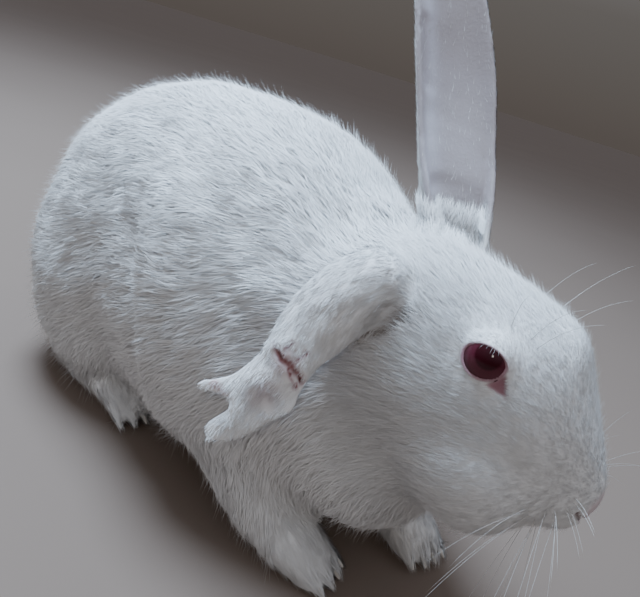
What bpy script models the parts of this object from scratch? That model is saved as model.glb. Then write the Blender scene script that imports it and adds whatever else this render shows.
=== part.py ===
"""A life-size lop rabbit that crouches with its head low: the left ear stands, the right one hangs
with an old torn tip.

The body is shaped whole, out to the tips of the coat, and then parted with thin cuts where a person
would name its parts. Metres, +Z up; +X is the way the body faces, +Y is the rabbit's left, and the
origin is on the floor under the middle of the model's box.
"""

import math

import bmesh
import bpy
from mathutils import Matrix, Vector

MM = 0.001
GAP = 0.4 * MM  # every cut between two parts
LIMB_MARGIN = 2.5 * MM  # a limb is cut off this far outside its own tube
SIDEWAYS = Vector((0, 1, 0))

# Shaping: the voxel that fuses the masses, how often the surface is then eased, and the share of
# its triangles that it keeps, more of them in front of the breast the lower the weight there.
BODY_VOXEL, BODY_EASE, TOE_EASE = 2.0 * MM, 14, 2
BODY_KEEP, FINE_WEIGHT = 0.0195, 0.7
EAR_VOXEL, EAR_EASE, EAR_KEEP = 1.0 * MM, 5, 0.02

# Head: the point midway between the eyes, and the way the face is turned, in degrees to its left.
EYES_MIDDLE = Vector((21, -3, 121)) * MM
HEAD_TURN = 13
EYE, EYE_RADIUS = (1.5, 19.9, -0.8), 9.4  # forward, to its own side, up, in mm from there

# Trunk, rump to breast: x, height of the axis, half width, half height, in mm.
TRUNK = (
    (-238, 62, 14, 18),
    (-228, 68, 40, 43),
    (-206, 76, 59, 67),
    (-170, 82, 69, 80),
    (-130, 83, 69, 83),
    (-90, 82, 74, 82),
    (-55, 77, 66, 71),
    (-28, 74, 53, 58),
    (-5, 74, 42, 50),
    (12, 78, 26, 34),
)
# Head along its own bent axis: forward, up, nose-down angle in degrees, half width, half height.
HEAD = (
    (-62, -14, 4, 24, 26),
    (-50, -15, 6, 31, 37),
    (-34, -17, 8, 33, 44),
    (-16, -20, 11, 33, 44.5),
    (1, -22, 14, 31, 42.5),
    (14, -23.5, 15, 28, 38),
    (23, -27, 15, 24.5, 29.5),
    (31, -31.5, 16, 21, 22),
    (37.5, -35, 17, 18, 16),
    (42.5, -36.5, 18, 13.5, 11),
    (46, -37, 18, 7, 6),
)
# Limbs: x, y, z, half width, half height; the right forefoot stands a little behind the left.
HIND_FOOT = (
    (-212, 40, 13, 11, 12),
    (-186, 41, 12, 13, 13),
    (-156, 41, 10, 13, 11),
    (-132, 41, 8, 13, 9),
    (-120, 40, 6, 10, 6),
)
RIGHT_FORELEG = (
    (-62, -33, 46, 23, 26),
    (-40, -34, 27, 17, 20),
    (-23, -30, 14, 13.5, 14),
    (-9, -24, 9, 12.5, 10),
    (0, -20.5, 6, 9, 6),
)
LEFT_FORELEG = (
    (-48, 34, 46, 23, 26),
    (-28, 35, 27, 18, 21),
    (-12, 32, 14, 14, 14),
    (5, 30.5, 9, 14, 10),
    (14, 29.5, 6, 10, 6),
)
TAIL = (
    (-214, 0, 38, 16, 14),
    (-232, 0, 42, 18, 15),
    (-243, 0, 58, 17, 12),
    (-243, 0, 76, 12, 9),
    (-240, 0, 86, 6, 5),
)
# Ears: x, y, z, half width, and how far the blade curls each way from its middle, in degrees.
LEFT_EAR = (
    (-17, 10, 128, 9.5, 140),
    (-25, 10, 146, 11.5, 115),
    (-34, 10, 168, 14.5, 78),
    (-43, 10, 190, 15.5, 62),
    (-53, 9, 212, 14.5, 52),
    (-62, 8, 230, 12, 46),
    (-66, 8, 241, 7.5, 40),
    (-68, 8, 246, 2, 30),
)
LEFT_EAR_SIDE = Vector((-0.45, -0.85, -0.2))
RIGHT_EAR = (
    (-2, -18, 126, 9, 130),
    (-3, -32, 134, 11.5, 105),
    (-9, -46, 127, 12.5, 70),
    (-13, -57, 114, 11.5, 55),
    (-15, -63, 101, 9, 50),
    (-18, -67, 90, 9.5, 44),
    (-24, -70, 78, 9.5, 38),
    (-29, -72, 68, 6, 34),
    (-31, -72.5, 64, 2, 30),
)
RIGHT_EAR_SIDE = Vector((-0.70, -0.25, 0.67))
EAR_THICK = 3.2 * MM
EAR_PRONG = (  # the smaller piece of the torn tip
    (-18, -65, 94, 4, 2.2),
    (-28, -69, 86, 4, 2.0),
    (-36, -72, 81, 3.4, 1.8),
    (-39, -73, 79, 1.6, 1.2),
)


# Paws: x, y of the toes' root and the way the paw points, in degrees to the left.
PAWS = {
    "fore_right": (-4, -21.5, 21),
    "fore_left": (10, 30, -8),
    "hind_right": (-123, -40.5, 2),
    "hind_left": (-123, 40.5, -2),
}
TOE_STEP, TOE_RADII = 5.8, (9, 3.6, 5)
CLAW = (  # forward, left and up from the toe's root, half width, half height
    (2, 0, 5.4, 1.4, 1.6),
    (6, 0, 5.0, 1.3, 1.5),
    (9, 0, 3.7, 0.9, 1.1),
    (10.8, 0, 2.2, 0.4, 0.5),
)
# Where the body is parted: outlines of x, z in mm, seen from the side.
HEAD_REGION = ((-32, 190), (-24, 150), (-14, 110), (0, 64), (60, 30), (120, 60), (120, 190))
NECK_REGION = ((-72, 190), (-60, 150), (-46, 100), (-26, 52), (60, 14), (120, 60), (120, 190))
FOREPAW_FROM = {"right": -17, "left": -4}
HAUNCH, HAUNCH_CUT = ((50, 28, 60), (-168, 46, 62)), ((56, 36, 62), (-166, 62, 66))


def clear_scene():
    for thing in list(bpy.data.objects):
        bpy.data.objects.remove(thing)


def material(name, colour, roughness):
    made = bpy.data.materials.new(name)
    made.use_nodes = True
    shader = made.node_tree.nodes["Principled BSDF"]
    shader.inputs["Base Color"].default_value = (*colour, 1)
    shader.inputs["Roughness"].default_value = roughness
    made.diffuse_color = (*colour, 1)
    return made


def add_object(name, bm):
    mesh = bpy.data.meshes.new(name)
    bm.to_mesh(mesh)
    bm.free()
    made = bpy.data.objects.new(name, mesh)
    bpy.context.scene.collection.objects.link(made)
    return made


def smooth_rows(rows, steps):
    """Rows of numbers on a Catmull-Rom curve through the given rows."""
    out = []
    for i in range(len(rows) - 1):
        before = rows[max(i - 1, 0)]
        after = rows[min(i + 2, len(rows) - 1)]
        for k in range(steps):
            t = k / steps
            row = []
            for p0, p1, p2, p3 in zip(before, rows[i], rows[i + 1], after):
                bend = 2 * p1 + (p2 - p0) * t + (2 * p0 - 5 * p1 + 4 * p2 - p3) * t**2
                row.append(0.5 * (bend + (3 * p1 - p0 - 3 * p2 + p3) * t**3))
            out.append(row)
    out.append(list(rows[-1]))
    return out


def loft(rings, sides=28):
    """A closed body through ellipses, each a matrix that carries the unit circle of its local XY."""
    bm = bmesh.new()
    loops = []
    for ring in rings:
        verts = bmesh.ops.create_circle(bm, segments=sides, radius=1, matrix=ring)["verts"]
        loops.append(list({e for v in verts for e in v.link_edges}))
    for first, second in zip(loops, loops[1:]):
        bmesh.ops.bridge_loops(bm, edges=first + second)
    bmesh.ops.edgeloop_fill(bm, edges=loops[0])
    bmesh.ops.edgeloop_fill(bm, edges=loops[-1])
    bmesh.ops.recalc_face_normals(bm, faces=bm.faces)
    return bm


def across(along, side):
    """The side direction made square to the along direction, and the third direction."""
    along = along.normalized()
    side = (side - along * side.dot(along)).normalized()
    return along, side, along.cross(side)


def ring_matrix(centre, along, half_side, half_other, side=SIDEWAYS):
    """The ellipse round an axis point: half_side along the side direction, half_other across it."""
    along, side, other = across(along, side)
    turn = Matrix((side, other, along)).transposed().to_4x4()
    scale = Matrix.Diagonal((half_side, half_other, 1, 1))
    return Matrix.Translation(centre) @ turn @ scale


def heading(points, i):
    return points[min(i + 1, len(points) - 1)] - points[max(i - 1, 0)]


def tube(rows, side=SIDEWAYS, steps=4, sides=20, grow=0.0):
    """A limb: rows of x, y, z, half width along side and half height, in mm."""
    rows = smooth_rows(rows, steps)
    points = [Vector(row[:3]) * MM for row in rows]
    rings = []
    for i, row in enumerate(rows):
        width, height = row[3] * MM + grow, row[4] * MM + grow
        rings.append(ring_matrix(points[i], heading(points, i), width, height, side))
    return loft(rings, sides)


def ball(centre, radii, tilt=0, segments=28):
    """An ellipsoid in mm; tilt turns its +X end down, in degrees."""
    place = Matrix.Translation(Vector(centre) * MM)
    place @= Matrix.Rotation(math.radians(tilt), 4, "Y")
    place @= Matrix.Diagonal((*(Vector(radii) * MM), 1))
    bm = bmesh.new()
    bmesh.ops.create_uvsphere(
        bm, u_segments=segments, v_segments=2 * segments // 3, radius=1, matrix=place
    )
    return bm


def mirrored(rows):
    return [(row[0], -row[1], *row[2:]) for row in rows]


def head_frame():
    return Matrix.Translation(EYES_MIDDLE) @ Matrix.Rotation(math.radians(HEAD_TURN), 4, "Z")


def in_head(bm):
    bm.transform(head_frame())
    return bm


def trunk_mass():
    rings = []
    rows = smooth_rows(TRUNK, 4)
    for i, (x, z, width, height) in enumerate(rows):
        before, after = rows[max(i - 1, 0)], rows[min(i + 1, len(rows) - 1)]
        along = Vector((after[0] - before[0], 0, 0.4 * (after[1] - before[1])))
        rings.append(ring_matrix(Vector((x, 0, z)) * MM, along, width * MM, height * MM))
    return loft(rings, 36)


def head_masses():
    """The skull and muzzle, then chin, cheeks, whisker pads and brows."""
    rings = []
    for x, z, down, width, height in smooth_rows(HEAD, 4):
        angle = math.radians(down)
        along = Vector((math.cos(angle), 0, -math.sin(angle)))
        rings.append(ring_matrix(Vector((x, 0, z)) * MM, along, width * MM, height * MM))
    masses = [loft(rings, 32), ball((28, 0, -45), (12, 11, 8), 15)]
    for side in (-1, 1):
        masses.append(ball((6, side * 14, -38), (27, 19, 23), 35))
        masses.append(ball((35, side * 8.5, -38), (11, 10.5, 11), 60))
        masses.append(ball((2, side * 15.5, 0), (15, 10.5, 12.5), 28))
    return [in_head(mass) for mass in masses]


def body_masses():
    masses = [trunk_mass(), *head_masses(), tube(TAIL), ball((-8, 0, 60), (32, 40, 39))]
    masses.append(ball((-22, 9, 128), (15, 13, 13)))  # fur round the root of the left ear
    masses.append(ball((-44, 2, 116), (24, 32, 31)))  # nape
    radii, (x, y, z) = HAUNCH
    for side in (-1, 1):
        masses.append(ball((x, side * y, z), radii))
    for limb in (HIND_FOOT, mirrored(HIND_FOOT), RIGHT_FORELEG, LEFT_FORELEG):
        masses.append(tube(limb))
    return masses


def on_paw(bm, paw, toe):
    """Carries a shape from the frame of a toe's root to its place on a paw, toes 0 to 3."""
    x, y, heading = PAWS[paw]
    spread = toe - 1.5
    place = Matrix.Translation(Vector((x, y, 0)) * MM)
    place @= Matrix.Rotation(math.radians(heading), 4, "Z")
    place @= Matrix.Translation(Vector((-1.3 * abs(spread), TOE_STEP * spread, 0)) * MM)
    place @= Matrix.Rotation(math.radians(4 * spread), 4, "Z")
    bm.transform(place)
    return bm


def toe_masses():
    return [on_paw(ball((0, 0, 5), TOE_RADII), paw, toe) for paw in PAWS for toe in range(4)]


def join(name, masses):
    whole = bmesh.new()
    for mass in masses:
        mesh = bpy.data.meshes.new("mass")
        mass.to_mesh(mesh)
        mass.free()
        whole.from_mesh(mesh)
        bpy.data.meshes.remove(mesh)
    return add_object(name, whole)


def apply_modifiers(thing):
    graph = bpy.context.evaluated_depsgraph_get()
    mesh = bpy.data.meshes.new_from_object(thing.evaluated_get(graph))
    thing.modifiers.clear()
    old = thing.data
    thing.data = mesh
    bpy.data.meshes.remove(old)


def fuse(thing, voxel, ease):
    """Melts overlapping masses into one smooth closed surface."""
    remesh = thing.modifiers.new("fuse", "REMESH")
    remesh.mode = "VOXEL"
    remesh.voxel_size = voxel
    smooth = thing.modifiers.new("ease", "SMOOTH")
    smooth.iterations = ease
    apply_modifiers(thing)
    return thing


def thin_out(thing, keep, fine_weight=1.0):
    group = thing.vertex_groups.new(name="thinned")
    for vert in thing.data.vertices:
        weight = fine_weight if vert.co.x > -15 * MM else 1.0
        group.add([vert.index], weight, "REPLACE")
    thin = thing.modifiers.new("thin", "DECIMATE")
    thin.ratio = keep
    thin.vertex_group = group.name
    thin.use_collapse_triangulate = True
    apply_modifiers(thing)
    return thing


def blade(rows, side, steps=4, columns=14):
    """An ear's curled sheet: a grid laid on arcs along the ear's middle line."""
    rows = smooth_rows(rows, steps)
    points = [Vector(row[:3]) * MM for row in rows]
    bm = bmesh.new()
    bmesh.ops.create_grid(bm, x_segments=len(rows) - 1, y_segments=columns, size=1)
    for vert in bm.verts:
        i = round((vert.co.x + 1) / 2 * (len(rows) - 1))
        width, curl = rows[i][3] * MM, math.radians(rows[i][4])
        _, sideways, opening = across(heading(points, i), side)
        radius = width / math.sin(min(curl, math.pi / 2))
        angle = curl * vert.co.y
        lift = radius * (1 - math.cos(angle))
        vert.co = points[i] + sideways * radius * math.sin(angle) + opening * lift
    return bm


def ear(name, rows, side, extra=()):
    sheet = add_object(name, blade(rows, side))
    thick = sheet.modifiers.new("thick", "SOLIDIFY")
    thick.thickness = EAR_THICK
    thick.offset = 0
    apply_modifiers(sheet)
    solid = bmesh.new()
    solid.from_mesh(sheet.data)
    bmesh.ops.recalc_face_normals(solid, faces=solid.faces)
    bpy.data.objects.remove(sheet)
    return thin_out(fuse(join(name, [solid, *extra]), EAR_VOXEL, EAR_EASE), EAR_KEEP)


def prism(corners, half_width=110, grow=0.0):
    """A cutter: an outline of x, z points in mm, carried from side to side."""
    middle = sum((Vector((x, 0, z)) for x, z in corners), Vector()) / len(corners)
    bm = bmesh.new()
    verts = []
    for x, z in corners:
        out = (Vector((x, 0, z)) - middle).normalized() * grow / MM
        verts.append(bm.verts.new((Vector((x, -half_width, z)) + out) * MM))
    face = bm.faces.new(verts)
    far = bmesh.ops.extrude_face_region(bm, geom=[face])["geom"]
    moved = [v for v in far if isinstance(v, bmesh.types.BMVert)]
    bmesh.ops.translate(bm, vec=Vector((0, 2 * half_width, 0)) * MM, verts=moved)
    bmesh.ops.recalc_face_normals(bm, faces=bm.faces)
    return bm


def boolean(thing, cutter_mesh, operation):
    cutter = add_object("cutter", cutter_mesh)
    step = thing.modifiers.new("cut", "BOOLEAN")
    step.operation = operation
    step.solver = "EXACT"
    step.object = cutter
    apply_modifiers(thing)
    bpy.data.objects.remove(cutter)


def keep_largest(thing):
    """Drops the crumbs that a cut can leave beside a part."""
    bm = bmesh.new()
    bm.from_mesh(thing.data)
    bm.verts.ensure_lookup_table()
    left = set(bm.verts)
    groups = []
    while left:
        group, edge = set(), [left.pop()]
        while edge:
            vert = edge.pop()
            group.add(vert)
            near = {e.other_vert(vert) for e in vert.link_edges} & left
            left -= near
            edge.extend(near)
        groups.append(group)
    groups.sort(key=len)
    crumbs = [vert for group in groups[:-1] for vert in group]
    bmesh.ops.delete(bm, geom=crumbs, context="VERTS")
    bm.to_mesh(thing.data)
    bm.free()


def part_off(body, name, cutter):
    """Cuts a named part from the body: cutter(grow) gives its region, grown by that much."""
    part = body.copy()
    part.data = body.data.copy()
    part.name = name
    bpy.context.scene.collection.objects.link(part)
    boolean(part, cutter(0.0), "INTERSECT")
    boolean(body, cutter(GAP), "DIFFERENCE")
    keep_largest(part)
    return part


def flatten_underside(body):
    """Rests the feet and the fur under the body on flats at floor level."""
    bm = bmesh.new()
    bm.from_mesh(body.data)
    cut = bmesh.ops.bisect_plane(
        bm, geom=bm.verts[:] + bm.edges[:] + bm.faces[:], plane_co=(0, 0, 0),
        plane_no=(0, 0, -1), clear_outer=True,
    )
    edges = [e for e in cut["geom_cut"] if isinstance(e, bmesh.types.BMEdge)]
    bmesh.ops.edgenet_fill(bm, edges=edges)
    bm.to_mesh(body.data)
    bm.free()


def shape_body():
    """The whole animal but for its ears, eyes and claws, resting on its flats."""
    body = fuse(join("body", body_masses()), BODY_VOXEL, BODY_EASE)
    smooth_body = bmesh.new()
    smooth_body.from_mesh(body.data)
    bpy.data.objects.remove(body)
    body = fuse(join("trunk", [smooth_body, *toe_masses()]), BODY_VOXEL, TOE_EASE)
    thin_out(body, BODY_KEEP, FINE_WEIGHT)
    flatten_underside(body)
    return body


def grown_copy(thing, grow):
    """A cutter: the thing's own surface moved out along its normals."""
    bm = bmesh.new()
    bm.from_mesh(thing.data)
    bm.normal_update()
    for vert in bm.verts:
        vert.co += vert.normal * grow
    return bm


def add_ears(body):
    prong = tube(EAR_PRONG, RIGHT_EAR_SIDE, steps=3, sides=12)
    ears = [ear("ear_left", LEFT_EAR, LEFT_EAR_SIDE)]
    ears.append(ear("ear_right", RIGHT_EAR, RIGHT_EAR_SIDE, [prong]))
    for made in ears:
        boolean(made, grown_copy(body, GAP), "DIFFERENCE")
        keep_largest(made)
    return ears


def add_eyes(head):
    eyes = []
    for name, side in (("eye_left", 1), ("eye_right", -1)):
        place = (EYE[0], side * EYE[1], EYE[2])
        eyes.append(add_object(name, in_head(ball(place, (EYE_RADIUS,) * 3, segments=16))))
        socket = in_head(ball(place, (EYE_RADIUS + GAP / MM,) * 3, segments=16))
        boolean(head, socket, "DIFFERENCE")
    return eyes


def add_claws(feet):
    claws = []
    for paw, foot in feet.items():
        for toe in range(4):
            claw = on_paw(tube(CLAW, steps=1, sides=5), paw, toe)
            claws.append(add_object(f"claw_{paw}_{toe + 1}", claw))
            bed = on_paw(tube(CLAW, steps=1, sides=5, grow=GAP), paw, toe)
            boolean(foot, bed, "DIFFERENCE")
    return claws


def past_toes(limb, paw):
    """The limb's rows with the last one moved out in front of the toes."""
    x, y, heading = PAWS[paw]
    turn = math.radians(heading)
    ahead = (x + 12 * math.cos(turn), y + 12 * math.sin(turn), 5, 12.5, 6)
    return (*limb[:-1], ahead)


def part_limbs(body):
    """Feet, legs, thighs and tail, each cut from the body along its own tube or ball."""
    feet, others = {}, []
    forelegs = {"right": RIGHT_FORELEG, "left": LEFT_FORELEG}
    hind_feet = {"right": mirrored(HIND_FOOT), "left": HIND_FOOT}
    for side, sign in (("right", -1), ("left", 1)):
        rows = past_toes(forelegs[side], f"fore_{side}")
        leg = part_off(body, f"foreleg_{side}", lambda grow: limb_cutter(rows, grow))
        near = FOREPAW_FROM[side]
        outline = ((near, -20), (near + 6, 60), (near + 80, 60), (near + 80, -20))
        feet[f"fore_{side}"] = part_off(
            leg, f"forepaw_{side}", lambda grow: prism(outline, grow=grow)
        )
        rows = past_toes(hind_feet[side], f"hind_{side}")
        feet[f"hind_{side}"] = part_off(
            body, f"hind_foot_{side}", lambda grow: limb_cutter(rows, grow)
        )
        radii, (x, y, z) = HAUNCH_CUT
        thigh = part_off(
            body, f"thigh_{side}",
            lambda grow: ball((x, sign * y, z), [r + grow / MM for r in radii], segments=20),
        )
        others += [leg, thigh]
    others.append(part_off(body, "tail", lambda grow: limb_cutter(TAIL, grow)))
    return feet, others


def limb_cutter(rows, grow):
    return tube(rows, steps=2, sides=12, grow=LIMB_MARGIN + grow)


def centre_on_floor(things):
    """Moves every mesh so that the origin is on the floor under the middle of the box."""
    corners = [vert.co for thing in things for vert in thing.data.vertices]
    middle = Vector(
        [-(min(c[axis] for c in corners) + max(c[axis] for c in corners)) / 2 for axis in (0, 1)]
        + [-min(c[2] for c in corners)]
    )
    for thing in things:
        thing.data.transform(Matrix.Translation(middle))
        thing.data.update()


def finish(things):
    coat = material("white_coat", (0.86, 0.85, 0.84), 0.85)
    inner = material("ear_skin", (0.78, 0.66, 0.66), 0.6)
    ruby = material("ruby_eye", (0.28, 0.03, 0.05), 0.06)
    horn = material("claw_horn", (0.62, 0.52, 0.44), 0.4)
    wears = {"ear": inner, "eye": ruby, "claw": horn}
    for thing in things:
        thing.data.materials.clear()
        thing.data.materials.append(wears.get(thing.name.split("_")[0], coat))
        if not thing.name.startswith("claw"):
            thing.data.shade_smooth()
            thing.data.set_sharp_from_angle(angle=math.radians(50))


def main():
    clear_scene()
    body = shape_body()
    ears = add_ears(body)
    head = part_off(body, "head", lambda grow: prism(HEAD_REGION, grow=grow))
    neck = part_off(body, "neck", lambda grow: prism(NECK_REGION, grow=grow))
    feet, others = part_limbs(body)
    keep_largest(body)
    eyes = add_eyes(head)
    claws = add_claws(feet)
    made = [body, head, neck, *ears, *eyes, *feet.values(), *claws, *others]
    centre_on_floor(made)
    finish(made)


main()
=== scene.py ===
"""The finished look of a white lop rabbit: one skin over the flesh, a coat of fine tufts that lie
along it, ruby eyes, horn claws, whiskers and lashes, on a plain pale floor.

Lengths are in metres, given as millimetres times MM. +X is the way the body faces, +Y is the
rabbit's left and +Z is up.
"""

import math

import bmesh
import bpy
import numpy as np
from mathutils import Matrix, Vector, noise
from mathutils.bvhtree import BVHTree
from mathutils.kdtree import KDTree


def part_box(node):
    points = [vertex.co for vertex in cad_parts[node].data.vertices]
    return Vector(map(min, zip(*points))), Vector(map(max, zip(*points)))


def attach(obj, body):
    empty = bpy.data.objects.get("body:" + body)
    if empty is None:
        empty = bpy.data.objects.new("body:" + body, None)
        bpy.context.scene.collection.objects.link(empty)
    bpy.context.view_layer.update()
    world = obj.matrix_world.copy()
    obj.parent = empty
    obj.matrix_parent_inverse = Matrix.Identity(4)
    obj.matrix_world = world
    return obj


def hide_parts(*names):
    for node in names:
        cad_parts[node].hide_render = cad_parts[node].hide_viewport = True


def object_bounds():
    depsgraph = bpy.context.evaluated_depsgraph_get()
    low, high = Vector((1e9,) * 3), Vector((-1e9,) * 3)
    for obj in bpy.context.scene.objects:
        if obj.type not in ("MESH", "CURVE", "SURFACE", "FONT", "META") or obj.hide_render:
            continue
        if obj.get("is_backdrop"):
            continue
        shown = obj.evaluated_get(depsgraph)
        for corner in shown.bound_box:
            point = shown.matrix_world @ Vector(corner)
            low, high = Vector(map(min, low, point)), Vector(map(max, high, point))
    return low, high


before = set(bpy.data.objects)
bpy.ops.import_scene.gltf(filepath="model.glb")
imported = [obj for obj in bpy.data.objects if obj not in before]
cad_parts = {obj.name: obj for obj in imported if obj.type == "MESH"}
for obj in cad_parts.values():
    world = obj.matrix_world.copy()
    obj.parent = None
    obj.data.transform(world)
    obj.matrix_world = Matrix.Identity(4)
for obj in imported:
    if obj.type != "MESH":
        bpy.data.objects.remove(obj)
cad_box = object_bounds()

MM = 0.001
SIDES = ("left", "right")
BODY = ("trunk", "neck", "tail", "thigh_left", "thigh_right")
FINE = (
    "head", "ear_left", "ear_right", "foreleg_left", "foreleg_right", "forepaw_left",
    "forepaw_right", "hind_foot_left", "hind_foot_right",
)
FLESH = BODY + FINE
EYES = ("eye_left", "eye_right")
CLAWS = tuple(name for name in sorted(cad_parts) if name.startswith("claw_"))

SEAM = 0.3 * MM  # how far each part of the flesh is grown to close the cuts between them
ROUGH = BODY + ("head", "foreleg_left", "foreleg_right")
ROUGH_VOXEL, FINE_VOXEL = 3.5 * MM, 0.9 * MM
ROUGH_EASE, FINE_EASE = 9, 12
SKIN_KEEP = 0.5  # share of its triangles that the skin keeps while it is shaped
DETAIL_WEIGHT = 0.22  # how readily the finer parts are thinned, where the body is 1
SKIN_TRIANGLES = 194000  # what it is thinned to at the end

# The coat by part: depth of the coat, length and width of a tuft, all in mm, its lift off the
# skin as a share of the depth, how strongly tufts gather into locks, and tufts for each mm2.
COAT = {
    "trunk": (3.4, 10, 0.54, 0.90, 0.20, 0.74),
    "thigh": (3.4, 10, 0.54, 0.90, 0.20, 0.74),
    "neck": (3.6, 10, 0.53, 0.90, 0.20, 0.90),
    "tail": (4.0, 13, 0.52, 1.1, 0.45, 1.2),
    "head": (2.0, 6.2, 0.36, 0.95, 0.12, 4.0),
    "ear_left": (0.7, 3.6, 0.28, 1.0, 0.12, 3.8),
    "ear_right": (1.0, 5.2, 0.38, 1.0, 0.25, 3.2),
    "foreleg": (2.6, 8.0, 0.50, 0.95, 0.22, 1.35),
    "forepaw": (0.8, 6.5, 0.42, 1.1, 0.30, 3.2),
    "hind": (1.4, 7.0, 0.42, 1.1, 0.35, 2.6),
}
DEPTH, LENGTH, WIDTH, LIFT, GATHER, DENSITY = range(6)
# The pieces of the coat: name, the parts that it covers, and the points along each tuft.
PIECES = (
    ("trunk", ("trunk",), 3), ("haunches", ("thigh", "tail"), 3), ("neck", ("neck",), 3),
    ("head", ("head",), 2), ("ears", ("ear",), 2), ("legs", ("foreleg",), 3),
    ("feet", ("forepaw", "hind"), 2),
)
PIECE_TRIANGLES = 190000  # most triangles in one piece of the coat
# Single hairs that stand off the coat: for each mm2, their width and the least and most that
# their tips rise out of the coat, in mm.
GUARD_DENSITY, GUARD_WIDTH, GUARD_RISE = 0.165, 0.15, (0.3, 2.2)
STANDING = 0.14  # share of the tufts that stand off the coat as finer hairs
LOCK, LOCK_RISE = 20, (-0.25, 0.18)  # tufts in a lock, and how it lifts by the coat's depth
SOFT = {2: 0.92, 3: 0.88}  # how far a tuft is shaded as the coat is, by its points
FLAT = 0.35  # a tuft's thickness as a share of its width
ROOTED = 0.3  # how far under the skin a tuft starts, in mm
LOWEST = 0.3 * MM  # the least height of a tuft over the ground
PATCH = 0.003  # side of a tuft's patch in the unwrap
UNWRAP_KEEP = 0.06  # share of its triangles that the skin's copy keeps for the unwrap
TOE_TUFTS = 90  # for each claw
ROOT_TUFTS, ROOT_REACH, ROOT_HEIGHT = 3600, 14.5 * MM, 151 * MM  # at the standing ear's root
SEED = 11


# ---- the frame of the head


def middle(name):
    low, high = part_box(name)
    return (low + high) / 2


EYE_RADIUS = (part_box("eye_right")[1].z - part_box("eye_right")[0].z) / 2
EYE_AT = {side: middle("eye_" + side) for side in SIDES}
HEAD_LEFT = (EYE_AT["left"] - EYE_AT["right"]).normalized()
HEAD_UP = Vector((0, 0, 1))
HEAD_AHEAD = HEAD_LEFT.cross(HEAD_UP)
EYES_MIDDLE = (EYE_AT["left"] + EYE_AT["right"]) / 2
EYE_SINK = 1.5 * MM  # how far the finished eyes sit inside the CAD's
EYE_SEAT = {
    "left": EYE_AT["left"] - HEAD_LEFT * EYE_SINK, "right": EYE_AT["right"] + HEAD_LEFT * EYE_SINK,
}
EYES_FROM = Vector((1.5, 0, -0.8))  # where that point is in the head's own frame, in mm


def in_head(ahead, left, up):
    """A place in the head's frame, in mm, as a place in the model."""
    x, y, z = ahead - EYES_FROM.x, left - EYES_FROM.y, up - EYES_FROM.z
    return EYES_MIDDLE + (HEAD_AHEAD * x + HEAD_LEFT * y + HEAD_UP * z) * MM


def head_way(ahead, left, up):
    return (HEAD_AHEAD * ahead + HEAD_LEFT * left + HEAD_UP * up).normalized()


def ahead_in_head(places):
    """How far ahead places are in the head's frame, in mm."""
    return ((places - np.array(in_head(0, 0, 0))) @ np.array(HEAD_AHEAD)) / MM


# ---- mesh helpers


def link(thing):
    bpy.context.scene.collection.objects.link(thing)
    return thing


def new_object(name, bm):
    mesh = bpy.data.meshes.new(name)
    bm.to_mesh(mesh)
    bm.free()
    return link(bpy.data.objects.new(name, mesh))


def put_marks(mesh, marks):
    """Writes one number for each point under each name."""
    for key, values in marks.items():
        attribute = mesh.attributes.new(key, "FLOAT", "POINT")
        attribute.data.foreach_set("value", values.astype(np.float32))


def apply_modifiers(thing):
    graph = bpy.context.evaluated_depsgraph_get()
    mesh = bpy.data.meshes.new_from_object(thing.evaluated_get(graph))
    thing.modifiers.clear()
    old = thing.data
    thing.data = mesh
    bpy.data.meshes.remove(old)


def thin_out(thing, ratio, group=""):
    """Keeps this share of a thing's triangles, fewer where the group is heavy."""
    thin = thing.modifiers.new("thin", "DECIMATE")
    thin.ratio, thin.vertex_group = ratio, group
    apply_modifiers(thing)


def node_mesh(name, grow):
    """A node's shape with its loose triangles joined up, grown along its normals."""
    bm = bmesh.new()
    bm.from_mesh(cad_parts[name].data)
    bmesh.ops.remove_doubles(bm, verts=bm.verts, dist=1e-6)
    bm.normal_update()
    for vert in bm.verts:
        vert.co += vert.normal * grow
    return bm


def melt(name, parts, voxel, ease):
    """One closed surface over overlapping parts, eased."""
    whole = bmesh.new()
    for part in parts:
        mesh = bpy.data.meshes.new("part")
        part.to_mesh(mesh)
        part.free()
        whole.from_mesh(mesh)
        bpy.data.meshes.remove(mesh)
    thing = new_object(name, whole)
    remesh = thing.modifiers.new("melt", "REMESH")
    remesh.mode = "VOXEL"
    remesh.voxel_size = voxel
    smooth = thing.modifiers.new("ease", "SMOOTH")
    smooth.iterations = ease
    apply_modifiers(thing)
    return thing


def read(what, size=3, kind=np.float32, key="co"):
    """One array from a mesh's points, edges, faces or map."""
    values = np.empty(len(what) * size, kind)
    what.foreach_get(key, values)
    return values.reshape(-1, size) if size > 1 else values


def unit(rows):
    return rows / np.maximum(np.linalg.norm(rows, axis=-1, keepdims=True), 1e-12)


def dot(a, b):
    return (a * b).sum(axis=1)


def step(values, low, high):
    """0 below low, 1 above high, smooth between them."""
    t = np.clip((values - low) / (high - low), 0, 1)
    return t * t * (3 - 2 * t)


def bell(values):
    """1 at 0, falling off smoothly on both sides."""
    return np.exp(-(values**2))


def away(places, point=(0, 0, 0)):
    return np.linalg.norm(places - np.array(point), axis=1)


def in_mm(place):
    return Vector(place) * MM


def even_out(rows, edges, pull, rounds):
    """Pulls each row towards the mean of the rows that edges join it to."""
    first, second = edges.T
    count = len(rows)
    valence = np.maximum(np.bincount(edges.ravel(), minlength=count), 1)[:, None]
    for _ in range(rounds):
        mean = np.stack([
            np.bincount(first, column[second], count) + np.bincount(second, column[first], count)
            for column in rows.T
        ], axis=1)
        rows += pull * (mean / valence - rows)
    return rows


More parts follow.
